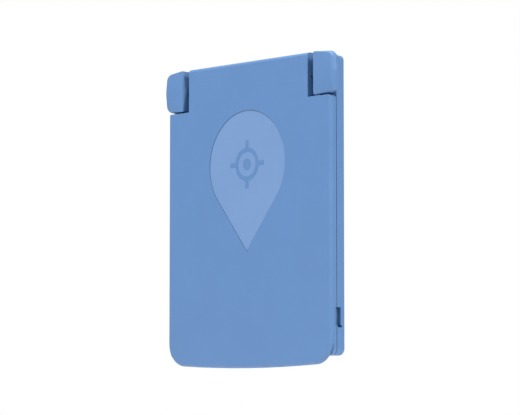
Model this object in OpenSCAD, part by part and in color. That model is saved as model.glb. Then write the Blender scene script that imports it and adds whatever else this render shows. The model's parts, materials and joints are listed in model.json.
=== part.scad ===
// Bluetooth tracker tag: a flat housing with a front cover that hinges open on two ears.
// Upright frame: X across the tag, +Z up, front cover facing -Y, origin on the rear face.

/* [Front cover] */
// Width of the cover and the housing
cover_w = 70; // [69:0.5:74]
// Height of the cover
cover_h = 92; // [91:0.5:96]
// Thickness of the cover
cover_t = 2.3; // [2.2:0.1:2.6]
// Skin left in front of the cover's inner recess
skin_t = 1.1; // [1:0.05:1.2]
// Radius of the two lower corners
cover_corner_r = 7; // [5:0.5:8]
// Radius of the bowed lower edge
bow_r = 500; // [300:50:900]
// Rounding of the front edges
edge_r = 1; // [0.6:0.1:1]
// Width of the tongue between the two ears
tongue_w = 51.4; // [50.6:0.2:52]

/* [Rear housing] */
// Depth of the rear housing
shell_t = 3.5; // [3.5:0.1:4]
// Gap between the cover and the housing
seam = 0.2; // [0.1:0.05:0.3]
// How far the housing's top lies below the cover's top
shell_drop = 1.4; // [0.8:0.1:2]
// How far the cover's lower edge hangs past the housing
lip = 3.3; // [3:0.1:3.6]
// Side wall thickness
wall = 1.2; // [1:0.1:1.4]
// Width of the ledge that carries the deck plate
ledge = 1.6; // [1.4:0.1:1.8]
// Thickness of the rear wall
floor_t = 1; // [0.9:0.05:1.1]

/* [Hinge] */
// Diameter of the steel hinge pins
pin_d = 2; // [1.8:0.1:2.2]
// Outer diameter of the hinge barrels
barrel_d = 4.4; // [4:0.1:4.6]
// Height of the hinge axis below the cover's top
hinge_drop = 7; // [6.9:0.05:7.1]
// Depth of the hinge axis in front of the rear face
hinge_depth = 3.4; // [3.3:0.05:3.4]
// Width of an ear
ear_w = 6.8; // [6.4:0.1:7]
// Height of an ear
ear_h = 12.7; // [12.4:0.1:12.8]
// How far an ear stands out past the side
ear_bulge = 1.7; // [1.4:0.1:2]

/* [Pin-shaped button] */
// Radius of the round head of the button
head_r = 16.2; // [15:0.1:17]
// Distance from the head's centre down to the tip
tip_d = 26; // [24:0.1:26.4]
// Height of the head's centre above the middle of the cover
head_z = 14.9; // [14:0.1:15.5]
// Travel of the button
button_travel = 0.3; // [0.2:0.05:0.3]
// Gap all round the button
button_gap = 0.1; // [0.1:0.05:0.25]

/* [Battery] */
// Diameter of the coin cell
cell_d = 20; // [20]
// Thickness of the coin cell
cell_t = 2.5; // [2.4:0.05:2.5]
// Height of the cell's centre above the middle of the cover
cell_z = -26.8; // [-27:0.1:-26.6]
// Angle from locked to the door's entry notches
door_turn = 40; // [30:1:50]

/* [Nail slot] */
// Height of the slot in the right side
slot_h = 5.2; // [4:0.1:6]
// Height of the slot's centre above the middle of the cover
slot_z = -31.4; // [-34:0.1:-20]
// How deep the slot goes into the side
slot_d = 1.5; // [1:0.1:1.6]

/* [Hidden] */

$fn = 64;
eps = 0.01;

body_blue = [0.42, 0.58, 0.77];
pin_blue = [0.51, 0.64, 0.83];
rubber_grey = [0.16, 0.17, 0.19];
steel = [0.72, 0.73, 0.75];
brass = [0.80, 0.66, 0.33];
board_green = [0.07, 0.30, 0.20];

// Levels through the thickness, measured from the rear face
cover_back = -shell_t - seam;
cover_front = cover_back - cover_t;
recess_front = cover_front + skin_t;
shell_front = -shell_t;
deck_t = 0.6;
deck_back = shell_front + deck_t;
board_t = 0.6;
board_rear = -floor_t - 0.3;
board_front = board_rear - board_t;

// Heights
top_z = cover_h / 2;
bottom_z = -cover_h / 2;
shell_top = top_z - shell_drop;
shell_bottom = bottom_z + lip;
hinge_y = -hinge_depth;
hinge_z = top_z - hinge_drop;
ear_bottom = top_z - ear_h;
notch_bottom = ear_bottom - 0.5;
side_x = cover_w / 2;
ear_x = side_x - ear_w;
tongue_x = tongue_w / 2;

// Open bay behind the tongue, and the webs that close the gaps beside it from behind
bay_x = tongue_x + 0.25;
bay_top = hinge_z - barrel_d / 2 - 0.5;
web_front = hinge_y + pin_d / 2 + 0.2;
shell_top_r = 1.4;
shell_low_r = 2;

// Pocket for the deck plate, and the cavity behind it
pocket_x = side_x - wall;
pocket_bottom = shell_bottom + wall;
pocket_top = notch_bottom + 0.1;
cavity_x = pocket_x - ledge;
cavity_bottom = pocket_bottom + ledge;
cavity_top = pocket_top - ledge;
screw_x = cavity_x - 2.7;
screw_z = [cavity_bottom + 2.2, cavity_top - 2.3];

// Battery bay
cell_rear = -floor_t - 0.15;
door_rear = shell_front - 0.2;
door_t = 0.8;
door_r = cell_d / 2 + 1.5;
tab_r = door_r + 0.9;
tab_t = 0.3;
collar_r = tab_r + 1.2;
collar_front = door_rear - door_t - 0.1;

// Parts on the deck and the board
plunger_d = 3;
board_bottom = cell_z + collar_r - 0.6;
magnet_x = 22;
magnet_z = bottom_z + 10;
magnet_d = 4;
bumper_x = side_x - 1.5;
bumper_z = [-22, 20];
light_x = 14;
light_z = cavity_top - 6;
radio_x = -17;
radio_z = 8;
shield_w = 14;
shield_h = 12;
shield_t = 0.85;
buzzer_x = -21.6;
buzzer_d = 15;
stake_x = 18.6;
stake_z = [head_z - 17, head_z + 9];
magnet_boss_d = magnet_d + 1.4;

// Button: its flange behind the skin, its step back from the cover's face, its inlaid emblem
flange = 0.8;
button_step = 0.1;
emblem_t = 0.15;
plunger_rear = deck_back + 0.25;
switch_front = plunger_rear + button_travel + 0.02;

// ---- Shared shapes ----

// A layer parallel to the front: from y_rear, t forward, with a flat outline drawn in X and Z
module layer(y_rear, t) {
    translate([0, y_rear, 0]) rotate([90, 0, 0]) linear_extrude(t) children();
}

// A round bar along X
module bar_x(x0, x1, r) {
    translate([x0, 0, 0]) rotate([0, 90, 0]) cylinder(r = r, h = x1 - x0);
}

// A round post along Y at x, z
module post(x, z, r, y_rear, t) {
    layer(y_rear, t) translate([x, z]) circle(r);
}

module rounded_box(x0, x1, z0, z1, r) {
    translate([x0 + r, z0]) square([x1 - x0 - 2 * r, z1 - z0]);
    translate([x0, z0 + r]) square([x1 - x0, z1 - z0 - 2 * r]);
    for (x = [x0 + r, x1 - r], z = [z0 + r, z1 - r]) translate([x, z]) circle(r);
}

// Disc with one rounded face, the corner stone of the hulled shells
module puck(x, z, r, y_plain, y_round, edge) {
    t = abs(y_plain - y_round);
    facing = y_round < y_plain ? 90 : -90;
    translate([x, y_plain, z]) rotate([facing, 0, 0]) {
        cylinder(r = r, h = t - edge, $fn = 48);
        translate([0, 0, t - edge]) rotate_extrude($fn = 48) intersection() {
            translate([r - edge, 0]) circle(edge, $fn = 24);
            square([r, edge]);
        }
    }
}

// Map pin outline: a circle with two tangents that meet in a tip, grown by g all round
module pin_outline(g = 0) {
    r = head_r + g;
    tip = tip_d * r / head_r;
    touch = acos(r / tip);
    translate([0, head_z]) {
        circle(r, $fn = 96);
        polygon([for (s = [-1, 1]) [s * r * sin(touch), -r * cos(touch)], [0, -tip]]);
    }
}

module both_sides() {
    for (s = [0, 1]) mirror([s, 0, 0]) children();
}

// Nail slot in the right side: a scoop in the edges of both halves, a slot in the housing with
// a chamfered rear edge, and a small foot at its lower end
module nail_slot() {
    scoop_front = cover_back - 0.7;
    scoop_d = 0.5;
    slot_front = shell_front + 0.3;
    slot_rear = slot_front + 1.3;
    chamfer = 0.2;
    foot = 0.6;
    translate([side_x, 0, slot_z - slot_h / 2]) {
        linear_extrude(slot_h) polygon([
            [-slot_d, slot_front], [-scoop_d, slot_front], [0, scoop_front], [1, scoop_front],
            [1, slot_rear + chamfer], [0, slot_rear + chamfer], [-chamfer, slot_rear],
            [-slot_d, slot_rear]
        ]);
        translate([-slot_d, slot_front, -foot]) cube([slot_d + 1, slot_rear - slot_front + 0.4, foot + eps]);
    }
}

// ---- Rear housing ----

module shell_blank() {
    back_r = 0.8;
    hull() for (s = [-1, 1]) {
        puck(s * (side_x - shell_top_r), shell_top - shell_top_r, shell_top_r, shell_front, 0, back_r);
        puck(s * (side_x - shell_low_r), shell_bottom + shell_low_r, shell_low_r, shell_front, 0, back_r);
    }
}

// One ear on the right: a pillow that stands out past the side, and whose back tapers into
// the housing behind it
module ear() {
    front = cover_front - 0.35;
    mid_z = (top_z + ear_bottom) / 2;
    out = side_x + ear_bulge;
    soft = 1.4;
    full_y = front + soft + 0.2;
    corner_in = 0.4;
    high_z = top_z - 0.35;
    high_r = 2.4;
    low_r = 2.5;
    waist_r = 4.5;
    inner_r = 0.35;
    rear = shell_front + 1.6;
    intersection() {
        hull() {
            puck(out - corner_in - high_r, high_z - high_r, high_r, full_y, front, soft);
            puck(out - corner_in - low_r, ear_bottom + low_r, low_r, full_y, front, soft);
            puck(out - waist_r, mid_z, waist_r, full_y, front, soft);
            puck(side_x - shell_top_r, shell_top - shell_top_r, shell_top_r, shell_front, rear, 0.3);
            puck(side_x - low_r, ear_bottom + low_r, low_r, shell_front, rear, 0.3);
            for (z = [top_z - 0.1 - inner_r, ear_bottom + inner_r])
                puck(ear_x + inner_r, z, inner_r, shell_front, front, 0.15);
            for (z = [shell_top - inner_r, ear_bottom + inner_r])
                puck(ear_x + inner_r, z, inner_r, shell_front, rear, 0.15);
        }
        ear_crown(front, mid_z, out);
    }
}

// The ear's face is crowned from top to bottom, more at its outer end than at its inner edge
module ear_crown(front, mid_z, out) {
    inner_r = 100;
    outer_r = 28;
    hull() {
        translate([0, front + inner_r, mid_z]) bar_x(ear_x - 1, ear_x, inner_r, $fn = 720);
        translate([0, front + outer_r, mid_z]) bar_x(out, out + 1, outer_r, $fn = 240);
    }
}

module rear_shell() {
    bore_r = pin_d / 2 + 0.02;
    color(body_blue) difference() {
        union() {
            difference() {
                shell_blank();
                layer(eps, shell_t + 1) translate([-bay_x, bay_top]) square([2 * bay_x, ear_h]);
                layer(web_front, shell_t) translate([-ear_x, bay_top]) square([2 * ear_x, ear_h]);
            }
            both_sides() ear();
        }
        layer(deck_back, deck_t + eps)
            rounded_box(-pocket_x, pocket_x, pocket_bottom, pocket_top, 1.5);
        difference() {
            layer(-floor_t, -deck_back - floor_t + eps)
                rounded_box(-cavity_x, cavity_x, cavity_bottom, cavity_top, 1.5);
            housing_bosses();
        }
        seal_groove();
        both_sides() translate([0, hinge_y, hinge_z]) bar_x(ear_x - 1, side_x - 0.9, bore_r);
        for (x = [-screw_x, screw_x], z = screw_z) post(x, z, 0.65, -floor_t - 0.2, 4);
        sound_holes();
        nail_slot();
        layer(eps, 0.16) rounded_box(-18, 18, -6, 18, 1.5);
    }
}

// Screw bosses, board rests and the ring that holds the cell
module housing_bosses() {
    for (x = [-screw_x, screw_x], z = screw_z) post(x, z, 1.8, 0, -deck_back);
    for (x = [-cavity_x + 4, 0, cavity_x - 4], z = [board_bottom + 3, cavity_top - 7])
        post(x, z, 1.5, 0, -board_rear);
    difference() {
        post(0, cell_z, cell_d / 2 + 1, 0, floor_t + 1.6);
        post(0, cell_z, cell_d / 2 + 0.2, eps, floor_t + 2);
        layer(0, 4) translate([-2.5, cell_z]) square([5, cell_d]);
        layer(0, 4) translate([cell_d / 2 - 2, cell_z - 2.5]) square([4, 5]);
    }
}

module seal_groove() {
    layer(deck_back + 0.4, 0.4) deck_ring_outline(0);
}

// Ring half way along the ledge, narrowed by g all round
module deck_ring_outline(g) {
    outer = ledge / 2 - 0.4 + g;
    inner = ledge / 2 + 0.4 - g;
    difference() {
        rounded_box(-pocket_x + outer, pocket_x - outer, pocket_bottom + outer, pocket_top - outer, 1.5);
        rounded_box(-pocket_x + inner, pocket_x - inner, pocket_bottom + inner, pocket_top - inner, 1.2);
    }
}

module sound_holes() {
    pitch = 2.6;
    for (i = [-2:2]) post(buzzer_x + i * pitch, cell_z, 0.6, 1, 3);
    for (i = [-1.5:1.5], s = [-1, 1]) post(buzzer_x + i * pitch, cell_z + s * 2.2, 0.6, 1, 3);
}

module hinge_pin() {
    color(steel) translate([0, hinge_y, hinge_z]) bar_x(ear_x - 7.6, side_x - 1, pin_d / 2);
}

module hinge_pin_left() {
    mirror([1, 0, 0]) hinge_pin();
}

module hinge_pin_right() {
    hinge_pin();
}

// ---- Deck: the inner lid, its seal and its screws ----

module deck_plate() {
    fit = 0.2;
    lip_front = door_rear - tab_t - 0.1;
    color(body_blue * 0.8) difference() {
        union() {
            layer(deck_back, deck_t)
                rounded_box(-pocket_x + fit, pocket_x - fit, pocket_bottom + fit, pocket_top - fit, 1.3);
            post(0, cell_z, collar_r, shell_front + eps, shell_front - collar_front + eps);
        }
        post(0, cell_z, cell_d / 2 + 0.25, 0, 8);
        post(0, cell_z, tab_r + 0.1, shell_front, shell_front - lip_front);
        post(0, cell_z, door_r + 0.15, shell_front, 4);
        entry_notches();
        door_seal_groove();
        post(0, head_z, plunger_d / 2 + 0.07, 0, 8);
        post(light_x, light_z, 1.05, 0, 8);
        for (x = [-screw_x, screw_x], z = screw_z) {
            post(x, z, 0.8, 0, 8);
            post(x, z, 1.4, shell_front + 0.4, 2);
        }
        both_sides() post(magnet_x, magnet_z, magnet_d / 2 + 0.25, shell_front + 0.3, 1);
    }
}

// Gaps in the collar's lip where the door's tabs go in
module entry_notches() {
    for (a = [0:120:240]) translate([0, 0, cell_z]) rotate([0, door_turn + a, 0])
        translate([0, collar_front - 1, -2]) cube([tab_r + 0.1, shell_front - collar_front + 1, 4]);
}

module door_seal_groove() {
    layer(shell_front + 0.4, 0.5) translate([0, cell_z]) difference() {
        circle(door_r - 0.4);
        circle(door_r - 1);
    }
}

module deck_seal() {
    color(rubber_grey) layer(deck_back + 0.39, 0.38) deck_ring_outline(0.05);
}

module deck_screws() {
    color(steel) for (x = [-screw_x, screw_x], z = screw_z) difference() {
        union() {
            post(x, z, 1.3, shell_front + 0.4, 0.38);
            post(x, z, 0.6, -floor_t - 0.4, shell_t - floor_t - 0.5);
        }
        for (a = [0, 90]) translate([x, shell_front, z]) rotate([0, a, 0])
            cube([1.5, 0.36, 0.32], center = true);
    }
}

// ---- Electronics ----

// A board component standing on the board's front face
module component(x, z, w, h, t) {
    translate([x - w / 2, board_front - t, z - h / 2]) cube([w, t, h]);
}

module main_board() {
    edge = cavity_x - 0.4;
    top = cavity_top - 0.4;
    color(board_green) difference() {
        layer(board_rear, board_t) rounded_box(-edge, edge, board_bottom, top, 1);
        for (x = [-screw_x, screw_x]) post(x, screw_z[1], 2.2, 0, 4);
    }
}

module radio_chip() {
    color([0.08, 0.08, 0.09]) component(radio_x, radio_z, 5, 5, 0.5);
}

module radio_shield() {
    sheet = 0.15;
    color(steel) difference() {
        component(radio_x, radio_z, shield_w, shield_h, shield_t);
        translate([0, 2, 0]) component(
            radio_x, radio_z, shield_w - 2 * sheet, shield_h - 2 * sheet, shield_t - sheet + 2);
    }
}

module chip_antenna() {
    color([0.92, 0.90, 0.84]) component(0, cavity_top - 2.4, 9, 2, 0.8);
}

module crystal() {
    color([0.80, 0.80, 0.82]) component(radio_x + 10.5, radio_z + 3, 3.2, 1.5, 0.7);
}

module motion_sensor() {
    color([0.10, 0.10, 0.11]) component(20, radio_z - 12, 2.5, 2.5, 0.8);
}

// Chip resistors and capacitors in two short rows
module board_passives() {
    color([0.72, 0.58, 0.42]) for (i = [0:4]) {
        component(radio_x - 6 + 3 * i, radio_z - shield_h / 2 - 2.4, 1.6, 0.8, 0.5);
        component(13 + 3 * i, radio_z, 0.8, 1.6, 0.5);
    }
}

module tact_switch() {
    color(steel) difference() {
        component(0, head_z, 4.2, 4.2, board_front - switch_front);
        post(0, head_z, 1.5, switch_front + 0.1, 1);
    }
}

module status_led() {
    color([0.95, 0.95, 0.88]) component(light_x, light_z, 1.6, 0.8, 0.5);
}

module light_pipe() {
    color([0.85, 0.93, 0.97]) {
        post(light_x, light_z, 1, board_front - 0.55, board_front - 0.55 - shell_front);
        post(light_x, light_z, 1.6, board_front - 0.55, 0.3);
    }
}

module coin_cell() {
    step = 0.5;
    color(steel) {
        post(0, cell_z, cell_d / 2 - 1.6, cell_rear, cell_t);
        post(0, cell_z, cell_d / 2, cell_rear - step, cell_t - step);
    }
}

// Leaf under the cell that runs up behind the board's lower edge
module cell_contact_negative() {
    strip = 0.13;
    color(brass) layer(-floor_t, strip) {
        translate([0, cell_z]) circle(4);
        translate([-1.5, cell_z]) square([3, board_bottom + 1 - cell_z]);
    }
}

// Spring that presses on the rim of the cell through the gap in its ring
module cell_contact_positive() {
    leaf = 0.3;
    x = cell_d / 2 + 0.05;
    color(brass) {
        translate([x, -floor_t - 1.8, cell_z - 1.8]) cube([leaf, 1.7, 3.6]);
        translate([x, -floor_t - 0.4, cell_z - 1.8]) cube([5, leaf, 3.6]);
        translate([x + 3.6, -floor_t - 0.4, cell_z - 1.8]) cube([1.4, leaf, board_bottom + 1.8 - cell_z]);
    }
}

module buzzer_plate() {
    color(brass) post(buzzer_x, cell_z, buzzer_d / 2, -floor_t - 0.02, 0.2);
}

module buzzer_ceramic() {
    color([0.88, 0.87, 0.82]) post(buzzer_x, cell_z, buzzer_d / 3, -floor_t - 0.22, 0.2);
}

// Two leaves from the board's lower edge to the disc and to its ceramic
module buzzer_contacts() {
    leaf = 0.12;
    color(brass) {
        for (x = [buzzer_x - 6, buzzer_x + 2.4]) {
            drop = x < buzzer_x ? 2.6 : 4.6;
            layer(-floor_t - 0.44, leaf) translate([x - 0.6, board_bottom - drop])
                square([1.2, drop - 0.2 + eps]);
            layer(-floor_t - 0.44, 0.8) translate([x - 0.6, board_bottom - 0.3]) square([1.2, 0.25]);
        }
    }
}

module catch_plates() {
    color(steel) both_sides() post(magnet_x, magnet_z, magnet_d / 2 + 0.2, shell_front + 0.3, 0.28);
}

module rear_label() {
    color([0.86, 0.87, 0.88]) layer(-0.02, 0.12) rounded_box(-17.8, 17.8, -5.8, 17.8, 1.3);
}

// ---- Battery door ----

module battery_door() {
    knurls = 24;
    color(body_blue * 0.7) translate([0, 0, cell_z]) difference() {
        union() {
            post(0, 0, door_r, door_rear, door_t);
            for (a = [0:120:240]) rotate([0, a, 0])
                translate([door_r - 1, door_rear - tab_t, -1.5]) cube([tab_r - door_r + 0.95, tab_t, 3]);
        }
        translate([-6.5, door_rear - door_t - 1, -0.9]) cube([13, 1.45, 1.8]);
        for (a = [0:360 / knurls:359]) rotate([0, a, 0])
            post(door_r - 1.3, 0, 0.35, door_rear - door_t + 0.3, 1);
        post(0, door_r - 3.4, 0.6, door_rear - door_t + 0.25, 1);
    }
}

module door_seal() {
    color(rubber_grey) translate([0, shell_front + 0.1, cell_z]) rotate([90, 0, 0])
        rotate_extrude() translate([door_r - 0.7, 0]) circle(0.27, $fn = 24);
}

// ---- Front cover ----

// Height of the bowed lower edge above the lowest point, at x from the middle
function bow(x) = bow_r - sqrt(bow_r * bow_r - x * x);

// A front skin whose lower edge hangs past the housing as a lip, on a rim that follows the housing
module cover_blank() {
    top_r = 1.4;
    low_x = side_x - cover_corner_r;
    steps = 4;
    hull() {
        for (s = [-1, 1])
            puck(s * (side_x - top_r), top_z - top_r, top_r, recess_front, cover_front, edge_r);
        for (i = [-steps:steps]) {
            x = low_x * i / steps;
            z = bottom_z + bow(x) + cover_corner_r;
            puck(x, z, cover_corner_r, recess_front, cover_front, edge_r);
        }
    }
    layer(cover_back, cover_back - recess_front + eps) hull() for (s = [-1, 1]) {
        translate([s * (side_x - top_r), top_z - top_r]) circle(top_r);
        translate([s * (side_x - shell_low_r), shell_bottom + shell_low_r]) circle(shell_low_r);
    }
}

module hinge_knuckles() {
    knuckle_w = 11.6;
    both_sides() translate([0, hinge_y, hinge_z])
        bar_x(tongue_x - knuckle_w, tongue_x, barrel_d / 2);
}

// Rim round the back of the tongue, which hides the knuckles from the side
module tongue_rim() {
    rim = 1;
    rim_t = 1.2;
    low = bay_top + 0.3;
    layer(cover_back + rim_t, rim_t + eps) difference() {
        translate([-tongue_x, low]) square([tongue_w, top_z - low]);
        translate([rim - tongue_x, low - 1]) square([tongue_w - 2 * rim, top_z - low + 1 - rim]);
    }
}

// Bosses on the inside of the skin: magnet cups and the stakes of the button retainer
module cover_bosses() {
    depth = cover_back - recess_front - 0.05;
    both_sides() {
        post(magnet_x, magnet_z, magnet_boss_d / 2, cover_back - 0.05, depth);
        for (z = stake_z) post(stake_x, z, 0.8, cover_back - 0.05, depth);
    }
}

module front_cover() {
    recess_bottom = shell_bottom + 1.7;
    recess_top = notch_bottom - 1.8;
    recess_x = side_x - 2.5;
    hollow = cover_back - recess_front + 1;
    color(body_blue) difference() {
        union() {
            difference() {
                cover_blank();
                layer(cover_back + 1, hollow)
                    rounded_box(-recess_x, recess_x, recess_bottom, recess_top, 2);
                layer(cover_back + 1, hollow) pin_outline(flange + 0.3);
            }
            hinge_knuckles();
            tongue_rim();
            cover_bosses();
        }
        both_sides() {
            ear_notch();
            translate([0, hinge_y, hinge_z]) bar_x(tongue_x - 6, tongue_x + 1, pin_d / 2 + 0.05);
            post(magnet_x, magnet_z, magnet_d / 2 + 0.05, cover_back + 1, 2.2);
            for (z = bumper_z) post(bumper_x, z, 0.95, cover_back + 1, 1.6);
        }
        layer(0, 8) pin_outline(button_gap);
        nail_slot();
    }
}

// Room for the right ear, with the cover's shoulder rounded under it
module ear_notch() {
    shoulder_r = 1.2;
    layer(1, 8) {
        translate([tongue_x, notch_bottom]) square([ear_w * 2, ear_h * 2]);
        translate([side_x - shoulder_r, notch_bottom - shoulder_r]) difference() {
            square(2 * shoulder_r);
            circle(shoulder_r);
        }
    }
}

module cover_magnets() {
    color([0.62, 0.62, 0.64]) both_sides() post(magnet_x, magnet_z, magnet_d / 2, cover_back - 0.1, 1);
}

module cover_bumpers() {
    color(rubber_grey) both_sides() for (z = bumper_z) post(bumper_x, z, 0.9, cover_back + 0.15, 0.7);
}

// Thin steel plate on four stakes that keeps the button in the cover
module button_retainer() {
    plate_t = 0.15;
    plate_rear = cover_back - 0.05;
    bar_h = 2.6;
    color(steel) layer(plate_rear, plate_t) difference() {
        union() {
            for (z = stake_z) translate([-stake_x - 1.6, z - bar_h / 2]) square([2 * stake_x + 3.2, bar_h]);
            translate([-2.6, stake_z[0]]) square([5.2, stake_z[1] - stake_z[0]]);
            translate([0, head_z]) circle(4);
        }
        translate([0, head_z]) circle(plunger_d / 2 + 0.3);
        for (x = [-stake_x, stake_x], z = stake_z) translate([x, z]) circle(0.85);
    }
}

// ---- Button ----

module pin_button() {
    flange_t = 0.4;
    flange_end = head_z - tip_d - flange;
    color(pin_blue) difference() {
        union() {
            layer(recess_front + 0.02, skin_t - button_step + 0.02) pin_outline();
            intersection() {
                layer(recess_front + 0.02 + flange_t, flange_t) pin_outline(flange);
                translate([-cover_w, -8, flange_end]) cube([2 * cover_w, 8, cover_h]);
            }
            post(0, head_z, plunger_d / 2, cover_back - 0.02, cover_back - 0.02 - recess_front);
        }
        layer(cover_front + button_step + emblem_t, 1) emblem_outline(0.02);
    }
}

// Plain locating mark: a ring with four ticks and a dot in the middle
module emblem_outline(g = 0) {
    ring_r = 5;
    stroke = 1.3;
    reach = 7.2;
    dot_r = 1.7;
    translate([0, head_z]) {
        difference() {
            circle(ring_r + g);
            circle(ring_r - stroke - g);
        }
        for (a = [0:90:270]) rotate(a) translate([ring_r - stroke / 2, -stroke / 2 - g])
            square([reach - ring_r + stroke / 2 + g, stroke + 2 * g]);
        circle(dot_r + g);
    }
}

module pin_emblem() {
    color(body_blue) layer(cover_front + button_step + emblem_t, emblem_t) emblem_outline();
}

// Stem in the deck that carries the button's press on to the switch
module switch_plunger() {
    color(rubber_grey) {
        post(0, head_z, plunger_d / 2, plunger_rear, plunger_rear - cover_back);
        post(0, head_z, plunger_d / 2 + 0.7, plunger_rear, 0.2);
    }
}

rear_shell();
hinge_pin_left();
hinge_pin_right();
deck_plate();
deck_seal();
deck_screws();
main_board();
radio_chip();
radio_shield();
chip_antenna();
crystal();
motion_sensor();
board_passives();
tact_switch();
status_led();
light_pipe();
coin_cell();
cell_contact_negative();
cell_contact_positive();
buzzer_plate();
buzzer_ceramic();
buzzer_contacts();
catch_plates();
rear_label();
battery_door();
door_seal();
front_cover();
cover_magnets();
cover_bumpers();
button_retainer();
pin_button();
pin_emblem();
switch_plunger();
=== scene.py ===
"""Looks of the upright bluetooth tracker tag: materials, floor, light and camera."""

import json
import math

import bmesh
import bpy
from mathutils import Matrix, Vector


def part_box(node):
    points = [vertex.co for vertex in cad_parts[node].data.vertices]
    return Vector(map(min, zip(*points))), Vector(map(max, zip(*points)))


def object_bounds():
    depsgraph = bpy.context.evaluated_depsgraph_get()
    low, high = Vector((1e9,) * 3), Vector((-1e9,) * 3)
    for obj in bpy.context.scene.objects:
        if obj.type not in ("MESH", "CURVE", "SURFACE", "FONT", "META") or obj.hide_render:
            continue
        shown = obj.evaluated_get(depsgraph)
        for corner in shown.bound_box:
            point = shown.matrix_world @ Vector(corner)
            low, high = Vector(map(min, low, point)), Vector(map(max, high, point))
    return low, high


MM = 0.001

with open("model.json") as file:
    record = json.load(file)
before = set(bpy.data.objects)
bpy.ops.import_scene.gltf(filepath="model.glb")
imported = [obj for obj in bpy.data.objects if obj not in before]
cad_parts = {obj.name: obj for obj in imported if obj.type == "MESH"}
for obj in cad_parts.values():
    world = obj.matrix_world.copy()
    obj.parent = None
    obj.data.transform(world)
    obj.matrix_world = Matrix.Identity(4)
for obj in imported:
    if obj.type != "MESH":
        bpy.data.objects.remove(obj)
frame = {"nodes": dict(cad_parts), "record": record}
CAD_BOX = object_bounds()
RECORD = frame["record"]
NODES = frame["nodes"]


# ---------------------------------------------------------------- camera, floor and light

# Where the camera stands, seen from the tag, in degrees
CAMERA_AZIMUTH = 45.87
CAMERA_ELEVATION = -4.81
CAMERA_DISTANCE = 705.3 * MM
# Focal length and sensor width, in the millimetres of a real camera
CAMERA_LENS = 162.97
CAMERA_SENSOR = 36
CAMERA_NEAR = 10 * MM
# The point aimed at: half way through the body, then across the camera's own frame
AIM_DEPTH = -3.0 * MM
AIM_RIGHT = 1.82 * MM
AIM_UP = 2.08 * MM
# The floor lies this far below the tag, which hangs upright in the air
FLOOR_DROP = 34 * MM
FLOOR_SIZE = 4.0
FLOOR_SEGMENTS = 8
# The studio's strength as the camera sees it, and as a light on the tag
BACKDROP_STRENGTH = 1.0
FILL_STRENGTH = 0.6


def direction(azimuth, elevation):
    """Unit vector away from the tag: azimuth 0 is in front of it and 90 on its right."""
    azimuth = math.radians(azimuth)
    elevation = math.radians(elevation)
    return Vector((
        math.sin(azimuth) * math.cos(elevation),
        -math.cos(azimuth) * math.cos(elevation),
        math.sin(elevation),
    ))


def make_camera():
    back = direction(CAMERA_AZIMUTH, CAMERA_ELEVATION)
    turn = (-back).to_track_quat("-Z", "Y")
    aim = Vector((0, AIM_DEPTH, 0)) + turn @ Vector((AIM_RIGHT, AIM_UP, 0))
    data = bpy.data.cameras.new("camera")
    data.lens = CAMERA_LENS
    data.sensor_width = CAMERA_SENSOR
    data.clip_start = CAMERA_NEAR
    camera = bpy.data.objects.new("camera", data)
    camera.rotation_mode = "QUATERNION"
    camera.rotation_quaternion = turn
    camera.location = aim + back * CAMERA_DISTANCE
    bpy.context.scene.collection.objects.link(camera)
    bpy.context.scene.camera = camera


def make_floor(material):
    bm = bmesh.new()
    bmesh.ops.create_grid(
        bm, x_segments=FLOOR_SEGMENTS, y_segments=FLOOR_SEGMENTS, size=FLOOR_SIZE / 2)
    mesh = bpy.data.meshes.new("floor")
    bm.to_mesh(mesh)
    bm.free()
    mesh.materials.append(material)
    floor = bpy.data.objects.new("floor", mesh)
    floor.location.z = CAD_BOX[0].z - FLOOR_DROP
    bpy.context.scene.collection.objects.link(floor)


def area_light(name, azimuth, elevation, distance, size, power):
    data = bpy.data.lights.new(name, "AREA")
    data.shape = "SQUARE"
    data.size = size
    data.energy = power
    light = bpy.data.objects.new(name, data)
    away = direction(azimuth, elevation)
    light.location = away * distance
    light.rotation_mode = "QUATERNION"
    light.rotation_quaternion = (-away).to_track_quat("-Z", "Y")
    bpy.context.scene.collection.objects.link(light)


def make_world():
    """A white studio: seen as pure white, and a softer fill light on the object."""
    world = bpy.data.worlds.new("studio")
    world.use_nodes = True
    nodes = world.node_tree.nodes
    links = world.node_tree.links
    background = nodes["Background"]
    background.inputs["Color"].default_value = (1, 1, 1, 1)
    ray = nodes.new("ShaderNodeLightPath")
    strength = nodes.new("ShaderNodeMapRange")
    strength.inputs["To Min"].default_value = FILL_STRENGTH
    strength.inputs["To Max"].default_value = BACKDROP_STRENGTH
    links.new(ray.outputs["Is Camera Ray"], strength.inputs["Value"])
    links.new(strength.outputs["Result"], background.inputs["Strength"])
    return world


def make_light():
    scene = bpy.context.scene
    scene.view_settings.view_transform = "Standard"
    scene.world = make_world()
    area_light("key", azimuth=-10, elevation=45, distance=1.1, size=0.5, power=7.5)
    area_light("overhead", azimuth=-6, elevation=74, distance=1.0, size=0.4, power=12.0)
    area_light("side", azimuth=93, elevation=36, distance=1.1, size=0.4, power=10.6)


# ---------------------------------------------------------------- materials

PLASTIC_IOR = 1.46
CLEAR_PLASTIC_IOR = 1.49
CLEAR_PLASTIC_TRANSMISSION = 0.9
EDGE_BREAK_MM = 0.12
# The Mix node's sockets for colours, which share their names with its sockets for numbers
MIX_FIRST = 6
MIX_SECOND = 7
MIX_RESULT = 2


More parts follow.
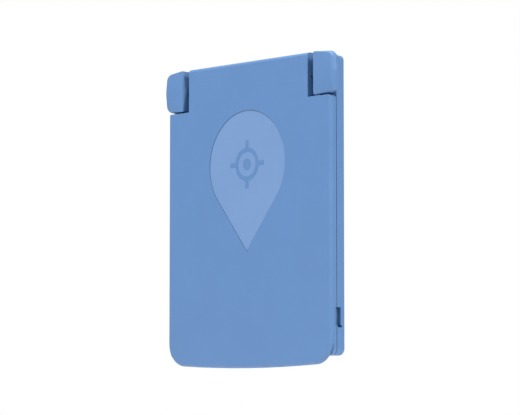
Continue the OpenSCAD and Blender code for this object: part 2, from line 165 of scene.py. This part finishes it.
class Shader:
    """A small builder for one procedural material."""

    def __init__(self, name):
        self.material = bpy.data.materials.new(name)
        self.material.use_nodes = True
        self.tree = self.material.node_tree
        self.surface = self.tree.nodes["Principled BSDF"]
        self.place = self.add("ShaderNodeTexCoord").outputs["Object"]

    def add(self, kind, **settings):
        node = self.tree.nodes.new(kind)
        for key, value in settings.items():
            setattr(node, key, value)
        return node

    def link(self, source, target):
        self.tree.links.new(source, target)

    def noise(self, grain_mm, detail=2.0, rough=0.5, stretch=None):
        """Noise whose features are about grain_mm across, from 0 to 1."""
        node = self.add("ShaderNodeTexNoise")
        node.inputs["Scale"].default_value = 1 / (grain_mm * MM)
        node.inputs["Detail"].default_value = detail
        node.inputs["Roughness"].default_value = rough
        if stretch is None:
            self.link(self.place, node.inputs["Vector"])
        else:
            mapping = self.add("ShaderNodeMapping")
            mapping.inputs["Scale"].default_value = stretch
            self.link(self.place, mapping.inputs["Vector"])
            self.link(mapping.outputs["Vector"], node.inputs["Vector"])
        return node.outputs["Fac"]

    def spread(self, value, low, high, start=0.3, stop=0.7):
        """Maps value from start..stop to low..high."""
        node = self.add("ShaderNodeMapRange")
        node.inputs["From Min"].default_value = start
        node.inputs["From Max"].default_value = stop
        node.inputs["To Min"].default_value = low
        node.inputs["To Max"].default_value = high
        self.link(value, node.inputs["Value"])
        return node.outputs["Result"]

    def blend_colours(self, factor, first, second):
        """The first colour where factor is 0, and the second where it is 1."""
        node = self.add("ShaderNodeMix", data_type="RGBA")
        self.link(factor, node.inputs["Factor"])
        node.inputs[MIX_FIRST].default_value = (*first, 1)
        node.inputs[MIX_SECOND].default_value = (*second, 1)
        return node.outputs[MIX_RESULT]

    def colour(self, output):
        self.link(output, self.surface.inputs["Base Color"])

    def roughness(self, output):
        self.link(output, self.surface.inputs["Roughness"])

    def rounded_edges(self, radius_mm):
        """Normals that turn smoothly round the small break on a moulded edge."""
        node = self.add("ShaderNodeBevel", samples=4)
        node.inputs["Radius"].default_value = radius_mm * MM
        return node.outputs["Normal"]

    def bump(self, height, depth_mm, strength=1.0, below=None):
        """Raises the surface by up to depth_mm, on top of the normals in below."""
        node = self.add("ShaderNodeBump")
        node.inputs["Distance"].default_value = depth_mm * MM
        node.inputs["Strength"].default_value = strength
        self.link(height, node.inputs["Height"])
        if below is not None:
            self.link(below, node.inputs["Normal"])
        self.link(node.outputs["Normal"], self.surface.inputs["Normal"])
        return node.outputs["Normal"]


def shade(colour, factor):
    """The colour made lighter or darker."""
    return tuple(min(1.0, c * factor) for c in colour)


def moulded_plastic(name, colour, rough, grain_mm=0.22, grain_depth_mm=0.006, mottle=0.02):
    """Spark-eroded moulded plastic: fine grain, a faint flow mottle and uneven satin."""
    shader = Shader(name)
    flow = shader.noise(14, detail=3)
    shader.colour(shader.blend_colours(
        shader.spread(flow, 0, 1), shade(colour, 1 - mottle), shade(colour, 1 + mottle)))
    shader.roughness(shader.spread(shader.noise(3.5, detail=4), rough - 0.05, rough + 0.05))
    soft_edge = shader.rounded_edges(EDGE_BREAK_MM)
    wave = shader.bump(shader.noise(9, detail=1), 0.02, 0.25, below=soft_edge)
    shader.bump(shader.noise(grain_mm, detail=2), grain_depth_mm, 0.8, below=wave)
    shader.surface.inputs["IOR"].default_value = PLASTIC_IOR
    return shader.material


def brushed_metal(name, colour, rough, stretch=(1, 12, 1), grain_mm=0.5, tarnish=0.1):
    """Metal with fine lines along one axis and a little tarnish."""
    shader = Shader(name)
    patches = shader.noise(4, detail=4)
    shader.colour(shader.blend_colours(
        shader.spread(patches, 0, 1), shade(colour, 1 - tarnish), colour))
    lines = shader.noise(grain_mm, detail=3, stretch=stretch)
    shader.roughness(shader.spread(lines, rough - 0.08, rough + 0.1))
    shader.bump(lines, 0.003, 0.6)
    shader.surface.inputs["Metallic"].default_value = 1.0
    return shader.material


def turned_metal(name, colour, rough, centre, ring_mm=0.12):
    """Metal with fine turning rings round an axis along Y through centre."""
    shader = Shader(name)
    mapping = shader.add("ShaderNodeMapping")
    mapping.inputs["Location"].default_value = (-centre.x, 0, -centre.z)
    mapping.inputs["Scale"].default_value = (1, 0, 1)
    shader.link(shader.place, mapping.inputs["Vector"])
    length = shader.add("ShaderNodeVectorMath", operation="LENGTH")
    shader.link(mapping.outputs["Vector"], length.inputs[0])
    rings = shader.add("ShaderNodeTexNoise", noise_dimensions="1D")
    rings.inputs["Scale"].default_value = 1 / (ring_mm * MM)
    shader.link(length.outputs["Value"], rings.inputs["W"])
    shader.roughness(shader.spread(rings.outputs["Fac"], rough - 0.06, rough + 0.1))
    shader.colour(shader.blend_colours(
        shader.spread(shader.noise(3, detail=4), 0, 1), shade(colour, 0.92), colour))
    shader.bump(rings.outputs["Fac"], 0.002, 0.6)
    shader.surface.inputs["Metallic"].default_value = 1.0
    return shader.material


def rubber(name, colour):
    """Matt black rubber with a little dust."""
    shader = Shader(name)
    dust = shader.noise(1.5, detail=5)
    shader.colour(shader.blend_colours(shader.spread(dust, 0, 1), colour, shade(colour, 1.5)))
    shader.roughness(shader.spread(shader.noise(2), 0.7, 0.85))
    shader.bump(shader.noise(0.15, detail=2), 0.006, 0.7)
    return shader.material


def circuit_board(name, mask, copper):
    """Green solder mask with the copper tracks showing through as lighter stepped lines."""
    shader = Shader(name)
    mapping = shader.add("ShaderNodeMapping")
    mapping.inputs["Scale"].default_value = (1, 0.2, 1)
    shader.link(shader.place, mapping.inputs["Vector"])
    cells = shader.add("ShaderNodeTexVoronoi", distance="CHEBYCHEV", feature="F1")
    cells.inputs["Scale"].default_value = 1 / (3.2 * MM)
    shader.link(mapping.outputs["Vector"], cells.inputs["Vector"])
    rings = shader.add("ShaderNodeMath", operation="PINGPONG")
    rings.inputs[1].default_value = 0.09
    shader.link(cells.outputs["Distance"], rings.inputs[0])
    track = shader.spread(rings.outputs[0], 1, 0, start=0.03, stop=0.04)
    shader.colour(shader.blend_colours(track, mask, copper))
    shader.roughness(shader.spread(shader.noise(1.2), 0.28, 0.42))
    shader.bump(track, 0.02, 0.5)
    return shader.material


def ceramic(name, colour):
    """Fired ceramic with fine darker specks."""
    shader = Shader(name)
    specks = shader.noise(0.25, detail=4)
    shader.colour(shader.blend_colours(shader.spread(specks, 0, 1), shade(colour, 0.9), colour))
    shader.roughness(shader.spread(specks, 0.5, 0.7))
    shader.bump(specks, 0.004, 0.6)
    return shader.material


def clear_plastic(name, colour):
    """Clear resin with a slightly uneven surface."""
    shader = Shader(name)
    shader.surface.inputs["Base Color"].default_value = (*colour, 1)
    shader.surface.inputs["Transmission Weight"].default_value = CLEAR_PLASTIC_TRANSMISSION
    shader.surface.inputs["IOR"].default_value = CLEAR_PLASTIC_IOR
    shader.roughness(shader.spread(shader.noise(1.0), 0.05, 0.14))
    shader.bump(shader.noise(0.6), 0.003, 0.4)
    return shader.material


def paper(name, colour):
    """Coated label stock with a faint fibre."""
    shader = Shader(name)
    fibre = shader.noise(0.5, detail=5, stretch=(1, 1, 3))
    shader.colour(shader.blend_colours(shader.spread(fibre, 0, 1), shade(colour, 0.95), colour))
    shader.roughness(shader.spread(fibre, 0.55, 0.75))
    shader.bump(fibre, 0.006, 0.5)
    return shader.material


def floor_paint(name):
    """Pale studio floor, a little uneven."""
    shader = Shader(name)
    cloud = shader.noise(250, detail=3)
    shader.colour(shader.blend_colours(
        shader.spread(cloud, 0, 1), (0.78, 0.78, 0.78), (0.82, 0.82, 0.82)))
    shader.roughness(shader.spread(shader.noise(40), 0.75, 0.9))
    shader.bump(shader.noise(1.5, detail=3), 0.05, 0.3)
    return shader.material


# ---------------------------------------------------------------- which node wears what

COVER_BLUE = (0.056, 0.132, 0.279)
PIN_BLUE = (0.093, 0.171, 0.323)
CELL_CENTRE = (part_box("coin_cell")[0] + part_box("coin_cell")[1]) / 2

SLOTS = {
    "housing_plastic": moulded_plastic("housing_plastic", COVER_BLUE, 0.5),
    "cover_plastic": moulded_plastic("cover_plastic", COVER_BLUE, 0.5),
    "button_plastic": moulded_plastic("button_plastic", PIN_BLUE, 0.42, grain_depth_mm=0.003),
    "deck_plastic": moulded_plastic("deck_plastic", shade(COVER_BLUE, 0.6), 0.55, grain_mm=0.3),
    "door_plastic": moulded_plastic("door_plastic", shade(COVER_BLUE, 0.5), 0.45, grain_mm=0.15),
    "rubber": rubber("rubber", (0.02, 0.021, 0.023)),
    "steel": brushed_metal("steel", (0.30, 0.30, 0.31), 0.45),
    "cell_steel": turned_metal("cell_steel", (0.66, 0.66, 0.66), 0.25, CELL_CENTRE),
    "magnet": brushed_metal("magnet", (0.28, 0.28, 0.29), 0.35, tarnish=0.03),
    "brass": brushed_metal("brass", (0.72, 0.52, 0.22), 0.3, stretch=(12, 1, 1)),
    "board": circuit_board("board", (0.012, 0.10, 0.05), (0.05, 0.22, 0.10)),
    "chip_black": moulded_plastic("chip_black", (0.02, 0.02, 0.022), 0.5, grain_mm=0.08),
    "ceramic": ceramic("ceramic", (0.72, 0.69, 0.60)),
    "led": clear_plastic("led", (0.95, 0.93, 0.62)),
    "clear_plastic": clear_plastic("clear_plastic", (0.85, 0.92, 0.96)),
    "label": paper("label", (0.72, 0.74, 0.76)),
}

# Hinge pins in a darker blue-grey steel than their steel slot: painted shade for the dark hinge
# gaps they cross
PIN_STEEL_PAINTED_SHADE = brushed_metal("pin_steel_painted_shade", (0.10, 0.13, 0.20), 0.4, stretch=(1, 1, 1))
PAINTED_SHADE_PINS = {
    "hinge_pin_left": PIN_STEEL_PAINTED_SHADE,
    "hinge_pin_right": PIN_STEEL_PAINTED_SHADE,
}


def dress_nodes():
    """Gives each CAD node the material of its slot; the hinge pins get a darker blue-grey steel,
    painted shade.
    """
    for part in RECORD["subparts"]:
        name = part["node"]
        mesh = NODES[name].data
        mesh.materials.clear()
        mesh.materials.append(PAINTED_SHADE_PINS.get(name, SLOTS[part["material_slot"]]))


make_camera()
make_light()
make_floor(floor_paint("floor_paint"))
dress_nodes()
